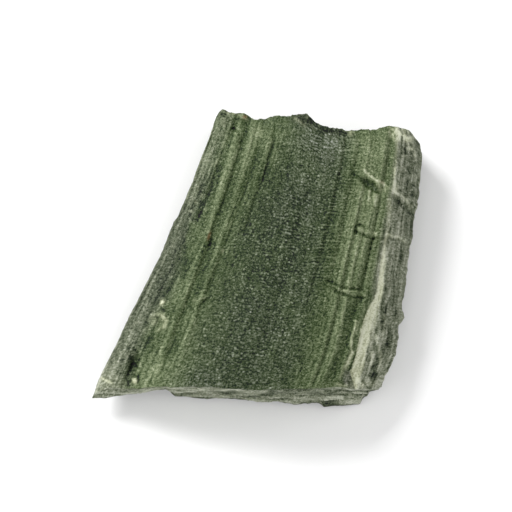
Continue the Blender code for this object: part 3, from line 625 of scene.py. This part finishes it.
    # rough dark places: the knob, the break along the back edge, the right shoulder
    knob = blob(wx, wy, 305, 119, 1.2, 0.6, -0.3, 1.5) + 0.8 * blob(wx, wy, 333, 131, 1.6, 0.40, -0.2, 1.5)
    tone = tone - 0.16 * knob + 0.30 * knob * rough(x / 0.30, y / 0.42, 138)
    grey = grey + 0.7 * knob
    z = z + 0.12 * knob * rough(x / 0.5, y / 0.7, 139)
    chipped = np.clip(1.2 * blob(wx, wy, 281, 121.0, 1.9, 0.62, -0.04, 2.5) + blob(wx, wy, 262, 117.5, 0.9, 0.28, -0.1, 2.0), 0, 1)
    tone = tone * (1 - 0.78 * chipped) + 0.78 * chipped * (0.385 + 0.06 * rough(x / 0.6, y / 0.35, 186) + 0.05 * rough(x / 0.2, y / 0.2, 187))
    mark([(262, 127.5), (272, 128.8), (284, 127.6), (294, 127.2)], 0.12, -0.03, -0.10)
    # a white streak and a white fleck on the knob's upper left side: painted glints
    mark([(295, 117.5), (300, 121), (305, 125)], 0.13, 0.05, 0.24, 0.60)
    mark([(307, 118), (309, 115.5)], 0.10, 0.03, 0.20, 0.50)
    mark([(319, 129), (327, 131), (336, 130), (346, 133)], 0.11, -0.10, -0.26)
    shoulder = blob(wx, wy, 410, 168, 3.4, 1.05, -1.50, 2.5)
    mottle = rough(x / 0.32, y / 0.36, 140)
    tone = tone - 0.11 * shoulder + 0.40 * shoulder * mottle
    white = white + 0.65 * shoulder * ease(0.10, 0.55, mottle) * ease(166, 140, 256 - y / 0.09)
    mark([(399, 190.5), (404, 189.5), (409, 188), (413.5, 185)], 0.12, -0.08, -0.30)
    mark([(404, 163), (408, 168), (411, 174)], 0.14, -0.06, -0.18)
    mark([(412, 150), (415, 160), (414.5, 170)], 0.12, -0.06, -0.18)
    mark([(395.6, 166), (394.8, 175), (394.2, 184)], 0.12, 0.04, 0.22, 0.35)
    patch_of(395.6, 188.5, 0.40, 0.30, 1.2, 0.20, 0.50)
    z = z + 0.07 * shoulder * rough(x / 0.6, y / 0.7, 142)
    # little ring-shaped pits, dark in the middle with painted shade and with a pale rim of painted highlight
    for px, py, across_, strong in ((339, 174, 0.22, 1.0), (204, 308, 0.15, 0.7), (205.5, 331, 0.17, 0.6), (171.5, 327.5, 0.13, 0.4)):
        cx, cy = mm(px, py)
        away = np.hypot(x - cx, y - cy)
        tone = tone - strong * (0.32 * np.exp(-((away / (0.55 * across_)) ** 2)) - 0.24 * np.exp(-(((away - across_) / 0.07) ** 2)))
        z = z - 0.10 * strong * np.exp(-((away / (0.7 * across_)) ** 2))
    rust = 0.4 * blob(wx, wy, 381.6, 182.6, 0.22, 0.11, -0.4) + 0.8 * blob(wx, wy, 209, 236, 0.40, 0.12, 1.2, 1.3) + 0.9 * blob(wx, wy, 244.5, 116, 0.22, 0.13)
    smooth = np.clip(scar * whole + scoop + 0.7 * chipped, 0, 1)

    top = on_table(x, y, z)
    # how strongly the shader lays on its grains: pits in the bump, and painted glints in the colour
    pit = (0.42 + 0.32 * centre + 0.05 * edge) * (1 - 0.7 * np.clip(smooth + 0.8 * facet, 0, 1)) * (0.78 + 0.40 * rough(x / 1.1, y / 1.3, 143))
    calm = np.clip(0.75 * ease(0.20, 0.10, v) * (1 - 0.8 * ease(0.60, 0.80, u)) + 0.55 * shoulder, 0, 1)
    extra = {"tone": tone, "streaky": 0.30 + 0.50 * np.clip(grey, 0, 1) * (1 - calm), "grey": np.clip(grey, 0, 1), "frost_and_grey_glints": np.clip(centre * (0.75 + 0.5 * rough(x / 1.6, y / 2.2, 144)), 0, 1), "white": np.clip(white, 0, 1), "rust": rust, "pits_and_glint_dots": pit, "fresh": smooth}
    flow = np.stack([v * 22.5, u * 26.0, 0 * u], -1)

    # sides and underside
    rim = ring(top[:, 0], top[-1], top[:, -1], top[0])
    smooth_z = table_height(u, v)
    plain = on_table(x, y, smooth_z)
    feet = foot_sides(us, vs, plain)
    foot = ring(*feet)[::2]
    half = rim[::2]
    middle = (half + foot) / 2
    out = outward(middle, 10)
    run = np.concatenate([[0], np.cumsum(np.linalg.norm(np.diff(half, axis=0), axis=1))])
    tall = np.clip((half[:, 2] - foot[:, 2]) / 4.0, 0.15, 1.0)
    count = top.size // 3
    points, quads, triangles = [top.reshape(-1, 3)], [cells(ROWS, COLUMNS, 0, True)], []
    side_tone, side_flow = [], []
    upper = border(ROWS, COLUMNS, 0)
    for k in range(1, SIDE_ROWS):
        s = k / SIDE_ROWS
        belly = (0.16 * rough(run / 5.0, 0.7, 61, 2) - 0.12) * 4 * s * (1 - s) + 0.10 * rough(run / 1.6, s * 3, 62, 2)
        layers = waves(run / 2.4, s * 9 + 0.8 * waves(run / 3.1, s * 2, 63), 64)
        layers = layers + 0.7 * waves(run / 1.1, s * 19 + 1.2 * waves(run / 2.3, s * 2, 65), 66)
        grit = rough(run / 0.35, s * 14, 67, 2)
        level = half * (1 - s) + foot * s
        keep = ease(0, 0.12, s) * ease(0, 0.10, 1 - s)
        level[:, :2] += out * ((belly + 0.085 * layers * keep + 0.065 * grit * keep) * tall)[:, None]
        sx, sy = level[:, 0] + CENTRE[0], (level[:, 1] + CENTRE[1]) * math.sin(LEAN) + level[:, 2] * math.cos(LEAN)
        facing = ease(-0.30, -0.75, out[:, 1])
        striae = waves((sx + 0.5 * sy) / 2.2, sy / 0.16 + 0.8 * waves(sx / 1.7, sy / 0.6, 171), 172) + 0.6 * waves(sx / 0.7, sy / 0.12, 173)
        level[:, :2] += out * ((0.05 + 0.02 * facing) * striae * keep * tall)[:, None]
        points.append(level)
        lens = near_line(sx, sy, [(325, 399), (333, 396.8), (342, 397.8)], 0.15)[0]
        lens_rim = near_line(sx, sy, [(322, 401.5), (333, 400.6), (344, 400)], 0.09)[0] + near_line(sx, sy, [(324, 395), (333, 393.4), (345, 394.6)], 0.09)[0]
        # cracks on the front face: dark lines with no cut in the mesh, painted shade in the cracks
        crevice = near_line(sx, sy, [(328, 392), (335, 391), (341, 388.6), (346, 389.6), (351, 392)], 0.12)[0]
        crevice = crevice + near_line(sx, sy, [(368, 389), (367.4, 394), (363.6, 397.4)], 0.10)[0]
        front_tone = 0.14 + 0.29 * striae + 0.34 * lens - 0.22 * lens_rim - 0.34 * crevice + 0.06 * ease(-9.0, -12.5, sx)
        veins = np.abs(waves(run / 1.9, s * 7 + 1.5 * waves(run / 2.7, s * 2, 69), 70))
        # the sides' tone is lighter than the upper face's: partly their greyer broken skin, partly painted light that
        # makes up for the weaker light falling on them
        side_tone.append(0.61 + (0.10 - 0.04 * facing) * layers + 0.17 * grit + 0.06 * rough(run / 2.0, s * 3, 68)
                         - 0.13 * ease(0.14, 0.0, veins) + 0.16 * striae * (1 - facing) + facing * front_tone)
        side_flow.append(np.stack([s * 4.5 * tall + 40, run * 0.9, 0 * run + 5], -1))
        lower = count + np.arange(len(level))
        count += len(level)
        if k == 1:
            c, d = lower, np.roll(lower, -1)
            a, m, b = upper[0::2], upper[1::2], np.roll(upper[0::2], -1)
            triangles += [np.stack([a, c, m], -1), np.stack([m, c, d], -1), np.stack([m, d, b], -1)]
        else:
            quads.append(np.stack([upper, lower, np.roll(lower, -1), np.roll(upper, -1)], -1))
        upper = lower
    under = under_face(us[::2], vs[::2], [side[::2] for side in feet])
    low = border(ROWS // 2, COLUMNS // 2, count)
    points.append(under.reshape(-1, 3))
    quads.append(cells(ROWS // 2, COLUMNS // 2, count, False))
    quads.append(np.stack([upper, low, np.roll(low, -1), np.roll(upper, -1)], -1))
    # what the sides and the underside look like
    uu, uv = np.meshgrid(us[::2], vs[::2], indexing="ij")
    vv = uv + 0.004 * waves(uu * 7, uv * 12, 151)
    lines = waves(vv * 46, uu * 2.5, 152) * 0.6 + waves(vv * 90, uu * 5, 153) * 0.4
    under_tone = 0.42 + 0.14 * lines + 0.08 * rough(uu * 9, uv * 8, 156) - 0.15 * cell_pits(vv * 52, uu * 50, 154)
    rest = {
        "tone": (side_tone, under_tone), "streaky": (0.675, 0.475), "grey": (0.75, 0.35), "frost_and_grey_glints": (0.0, 0.4), "white": (0.0, 0.0), "rust": (0.0, 0.0), "fresh": (0.0, 0.0),
        "pits_and_glint_dots": (0.55, 0.8),
    }
    sides = (SIDE_ROWS - 1) * len(half)
    values = {}
    for name, top_values in extra.items():
        side_part, under_part = rest[name]
        side_part = np.concatenate(side_part) if isinstance(side_part, list) else np.full(sides, side_part)
        under_part = np.broadcast_to(np.asarray(under_part, float), uu.shape)
        values[name] = np.concatenate([top_values.ravel(), side_part, under_part.ravel()])
    under_flow = np.stack([uv * 22.5, uu * 26.0, 0 * uu + 9], -1).reshape(-1, 3)
    values["flow"] = np.concatenate([flow.reshape(-1, 3)] + side_flow + [under_flow])
    return np.concatenate(points), quads, triangles, values


def foot_sides(us, vs, upper):
    def corner(side, t, first, last, reach=0.14):
        near, far = ease(0, reach, t)[:, None], ease(0, reach, 1 - t)[:, None]
        return side + (1 - near) * (np.array(first) - side[0]) + (1 - far) * (np.array(last) - side[-1])

    line = drawn(FRONT_FOOT, vs, 0.09, 0)
    line[:, 1] += chips(vs, 15, 0.07, 41) + chips(vs, 75, 0.05, 130)
    tip = 1 - ease(-8.2, -7.4, line[:, 0])
    front = on_table(line[:, 0], line[:, 1], 0.55 + 1.25 * tip + 0.15 * rough(line[:, 0] / 2.2, 3.1, 16))
    left, right, back = upper[:, 0].copy(), upper[:, -1].copy(), upper[0].copy()
    left[:, 0] += 0.50
    left[:, 2] = np.maximum(left[:, 2] - 0.95 - 0.9 * ease(0.5, 0.0, us) + 0.12 * rough(us * 9, 1.5, 17), 0.8)
    right[:, 0] -= 0.75
    right[:, 2] += 0.2 * rough(us * 8, 2.5, 18) - 1.75
    back[:, 1] += 0.30 + 0.35 * rough(vs * 7, 3.5, 19)
    back[:, 2] = 0.85 + 0.25 * rough(vs * 6, 4.5, 20)
    back_left, back_right = upper[0, 0] + np.array([0.35, 0.05, 0.0]), upper[0, -1] + np.array([-0.55, 0.10, 0.0])
    back_left[2], back_right[2] = 1.3, 1.0
    return (corner(left, us, back_left, front[0]), front, corner(right, us, back_right, front[-1]),
            corner(back, vs, back_left, back_right))


def under_face(us, vs, sides):
    u, v = np.meshgrid(us, vs, indexing="ij")
    left, front, right, back = sides
    at = patch(back, front, left, right, u, v)
    inside = ease(0.0, 0.26, np.minimum(np.minimum(u, 1 - u), np.minimum(v, 1 - v) * 1.2))
    low = 0.34 * rough(at[..., 0] / 6.5, at[..., 1] / 5.5, 51, 2) - WORN
    z = np.maximum(at[..., 2] * (1 - inside) + low * inside, 0.0)
    # pits and flow lines, cut into the surface only, so that nothing reaches below the table
    away = ease(0.0, 0.03, np.minimum(np.minimum(u, 1 - u), np.minimum(v, 1 - v)))
    vv = v + 0.004 * waves(u * 7, v * 12, 151)
    lines = waves(vv * 46, u * 2.5, 152) * 0.6 + waves(vv * 90, u * 5, 153) * 0.4
    dents = cell_pits(vv * 52, u * 50, 154)
    z = z + away * (0.10 * (0.5 + 0.5 * lines) + 0.10 * dents + 0.05 * (0.5 + 0.5 * rough(u * 30, v * 26, 155)))
    at[..., 2] = z
    return at


def build():
    points, quads, triangles, values = stone()
    mesh = bpy.data.meshes.new("moldavite_stone")
    quads, triangles = np.concatenate(quads), np.concatenate(triangles)
    mesh.vertices.add(len(points))
    mesh.vertices.foreach_set("co", (points * 0.001).astype(np.float32).ravel())
    mesh.loops.add(quads.size + triangles.size)
    mesh.loops.foreach_set("vertex_index", np.concatenate([quads.ravel(), triangles.ravel()]).astype(np.int32))
    mesh.polygons.add(len(quads) + len(triangles))
    starts = np.concatenate([np.arange(len(quads)) * 4, quads.size + np.arange(len(triangles)) * 3])
    mesh.polygons.foreach_set("loop_start", starts.astype(np.int32))
    mesh.update(calc_edges=True)
    mesh.validate()
    mesh.shade_smooth()
    for name, value in values.items():
        if name == "flow":
            mesh.attributes.new(name, "FLOAT_VECTOR", "POINT").data.foreach_set("vector", value.astype(np.float32).ravel())
        else:
            mesh.attributes.new(name, "FLOAT", "POINT").data.foreach_set("value", value.astype(np.float32))
    piece = bpy.data.objects.new("moldavite_stone", mesh)
    bpy.context.scene.collection.objects.link(piece)
    return piece


# ---------------------------------------------------------------- material
HAZE, GAIN = 0.0095, 0.98


def shade(*display):
    """The glass colour that looks like this display colour, 0 to 255, under the studio's light."""
    return tuple(max(0.0015, ((c / 255 + 0.055) / 1.055) ** 2.4 - HAZE) / GAIN for c in display)


def make_material():
    glass = bpy.data.materials.new("moldavite_glass")
    glass.use_nodes = True
    tree = glass.node_tree
    nodes, links = tree.nodes, tree.links
    shader = nodes["Principled BSDF"]
    out = nodes["Material Output"]

    def attribute(name):
        node = nodes.new("ShaderNodeAttribute")
        node.attribute_name = name
        return node.outputs["Fac"]

    def math_node(kind, a, b=None, clamp=False):
        node = nodes.new("ShaderNodeMath")
        node.operation = kind
        node.use_clamp = clamp
        for k, value in enumerate((a, b)):
            if value is None:
                continue
            if isinstance(value, (int, float)):
                node.inputs[k].default_value = value
            else:
                links.new(value, node.inputs[k])
        return node.outputs[0]

    def mix(fac, a, b):
        node = nodes.new("ShaderNodeMix")
        node.data_type = "RGBA"
        links.new(fac, node.inputs["Factor"])
        for key, value in (("A", a), ("B", b)):
            socket = [s for s in node.inputs if s.name == key and s.type == "RGBA"][0]
            if isinstance(value, tuple):
                socket.default_value = (*value, 1.0)
            else:
                links.new(value, socket)
        return [s for s in node.outputs if s.type == "RGBA"][0]

    def stretched(vector, scale):
        node = nodes.new("ShaderNodeMapping")
        node.inputs["Scale"].default_value = scale
        links.new(vector, node.inputs["Vector"])
        return node.outputs["Vector"]

    def noise(vector, scale, detail=2.0, roughness=0.6):
        node = nodes.new("ShaderNodeTexNoise")
        node.inputs["Scale"].default_value = 1.0
        node.inputs["Detail"].default_value = detail
        node.inputs["Roughness"].default_value = roughness
        links.new(stretched(vector, scale), node.inputs["Vector"])
        return node.outputs["Fac"]

    def ramp(fac, stops):
        node = nodes.new("ShaderNodeValToRGB")
        links.new(fac, node.inputs["Fac"])
        elements = node.color_ramp.elements
        while len(elements) < len(stops):
            elements.new(0.5)
        for element, (place, colour) in zip(elements, stops):
            element.position, element.color = place, (*colour, 1.0)
        return node.outputs["Color"]

    flow_node = nodes.new("ShaderNodeAttribute")
    flow_node.attribute_name = "flow"
    flow = flow_node.outputs["Vector"]
    streak = noise(flow, (4.6, 0.45, 1.0), 2.0, 0.6)
    grit = noise(flow, (4.0, 4.5, 1.0), 2.0, 0.65)
    fine = noise(flow, (9.0, 8.0, 1.0), 1.0, 0.5)
    # Voronoi grains: a bright dot at each cell's middle and dark gaps between them. The bright dots are painted glints,
    # the grey sparkle of etched pits. The same grains also make the pits in the bump.
    cells_ = nodes.new("ShaderNodeTexVoronoi")
    cells_.inputs["Scale"].default_value = 1.0
    cells_.inputs["Randomness"].default_value = 0.85
    links.new(stretched(flow, (3.9, 4.1, 1.0)), cells_.inputs["Vector"])
    grain = math_node("MULTIPLY", math_node("SUBTRACT", 0.56, cells_.outputs["Distance"], True),
                      math_node("ADD", math_node("MULTIPLY", cells_.outputs["Color"], 1.5), 0.20))
    grain = math_node("MULTIPLY", math_node("SUBTRACT", grain, 0.17), attribute("pits_and_glint_dots"))

    tone = math_node("ADD", attribute("tone"), math_node("MULTIPLY", math_node("SUBTRACT", streak, 0.5), attribute("streaky")))
    tone = math_node("ADD", tone, math_node("MULTIPLY", math_node("SUBTRACT", grit, 0.5), 0.88))
    tone = math_node("ADD", tone, math_node("MULTIPLY", math_node("SUBTRACT", fine, 0.5), 0.85))
    tone = math_node("ADD", tone, math_node("MULTIPLY", grain, 1.12), True)

    steps = (0.0, 0.15, 0.30, 0.45, 0.60, 0.80, 1.0)
    green = ramp(tone, list(zip(steps, [shade(*c) for c in (
        (4, 14, 1), (23, 41, 7), (55, 73, 35), (88, 102, 68), (121, 134, 98), (158, 168, 132), (198, 204, 176))])))
    # The frosted ramp, for the middle of the upper face, is greyer than the green one, most of all at its light end.
    # This is partly the frosted skin's own colour and partly painted grey glints.
    frosted_and_glinting = ramp(tone, list(zip(steps, [shade(*c) for c in (
        (6, 14, 2), (25, 40, 10), (58, 72, 42), (91, 100, 79), (123, 131, 112), (161, 167, 154), (201, 205, 195))])))
    weathered = ramp(tone, list(zip(steps, [shade(*c) for c in (
        (8, 13, 5), (27, 34, 16), (58, 66, 46), (89, 96, 77), (121, 126, 106), (158, 161, 144), (198, 200, 184))])))
    pale = ramp(tone, list(zip((0.0, 0.45, 0.8, 1.0), [shade(*c) for c in (
        (88, 92, 66), (152, 157, 123), (206, 210, 176), (236, 239, 213))])))
    colour = mix(attribute("frost_and_grey_glints"), green, frosted_and_glinting)
    colour = mix(attribute("grey"), colour, weathered)
    colour = mix(attribute("white"), colour, pale)
    colour = mix(math_node("MULTIPLY", attribute("rust"), 0.8, True), colour, (0.20, 0.085, 0.03))
    links.new(colour, shader.inputs["Base Color"])
    rough_skin = math_node("ADD", math_node("MULTIPLY", grit, 0.24), 0.62)
    links.new(math_node("SUBTRACT", rough_skin, math_node("MULTIPLY", attribute("fresh"), 0.20)), shader.inputs["Roughness"])
    shader.inputs["Specular IOR Level"].default_value = 0.16
    shader.inputs["IOR"].default_value = 1.49
    shader.inputs["Transmission Weight"].default_value = 0.35

    height = math_node("ADD", math_node("MULTIPLY", grit, 0.7), math_node("MULTIPLY", fine, 0.3))
    height = math_node("ADD", height, math_node("MULTIPLY", streak, 0.5))
    height = math_node("ADD", height, math_node("MULTIPLY", grain, 1.6))
    bump = nodes.new("ShaderNodeBump")
    bump.inputs["Strength"].default_value = 1.0
    bump.inputs["Distance"].default_value = 0.00004
    links.new(height, bump.inputs["Height"])
    links.new(bump.outputs["Normal"], shader.inputs["Normal"])

    absorb = nodes.new("ShaderNodeVolumeAbsorption")
    absorb.inputs["Color"].default_value = (0.42, 0.62, 0.22, 1.0)
    absorb.inputs["Density"].default_value = 650.0
    links.new(absorb.outputs["Volume"], out.inputs["Volume"])
    return glass


piece = build()
piece.data.materials.append(make_material())
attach(piece, "root")
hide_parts("moldavite")

# ---------------------------------------------------------------- floor, light, camera
floor_mesh = bpy.data.meshes.new("floor")
S = 1.2
floor_mesh.from_pydata([(-S, -S, 0), (S, -S, 0), (S, S, 0), (-S, S, 0)], [], [(0, 1, 2, 3)])
floor = bpy.data.objects.new("floor", floor_mesh)
bpy.context.scene.collection.objects.link(floor)
floor.location.z = -0.00002
white = bpy.data.materials.new("floor_white")
white.use_nodes = True
white.node_tree.nodes["Principled BSDF"].inputs["Base Color"].default_value = (0.90, 0.90, 0.90, 1.0)
white.node_tree.nodes["Principled BSDF"].inputs["Roughness"].default_value = 0.9
floor_mesh.materials.append(white)

world = bpy.data.worlds.new("studio")
bpy.context.scene.world = world
world.use_nodes = True
world.node_tree.nodes["Background"].inputs["Color"].default_value = (1.0, 1.0, 1.0, 1.0)
world.node_tree.nodes["Background"].inputs["Strength"].default_value = 0.38


def lamp(name, place, target, size, power, colour=(1.0, 1.0, 1.0)):
    light = bpy.data.lights.new(name, "AREA")
    light.size = size
    light.energy = power
    light.color = colour
    thing = bpy.data.objects.new(name, light)
    thing.location = place
    thing.rotation_euler = (Vector(target) - Vector(place)).to_track_quat("-Z", "Y").to_euler()
    bpy.context.scene.collection.objects.link(thing)
    return thing


middle = (0.0, 0.0, 0.003)
lamp("key", (-0.20, 0.20, 0.20), middle, 0.14, 1.30)
lamp("right", (0.26, 0.05, 0.20), middle, 0.22, 0.36)
lamp("front", (0.0, -0.27, 0.16), middle, 0.22, 0.45)
lamp("left", (-0.27, -0.10, 0.20), middle, 0.22, 0.22)

LENS = 400.0
camera = bpy.data.cameras.new("camera")
camera.lens = LENS
camera.sensor_width = 36.0
camera.clip_start, camera.clip_end = 0.01, 10.0
eye = bpy.data.objects.new("camera", camera)
bpy.context.scene.collection.objects.link(eye)
back = Vector((0.0, -math.cos(LEAN), math.sin(LEAN)))
aim = Vector((-0.000157, 0.000056, 0.003))
distance = 0.04608 * LENS / 36.0 + 0.0015
eye.location = aim + back * distance
eye.rotation_euler = (-back).to_track_quat("-Z", "Y").to_euler()
bpy.context.scene.camera = eye
bpy.context.scene.view_settings.view_transform = "Standard"
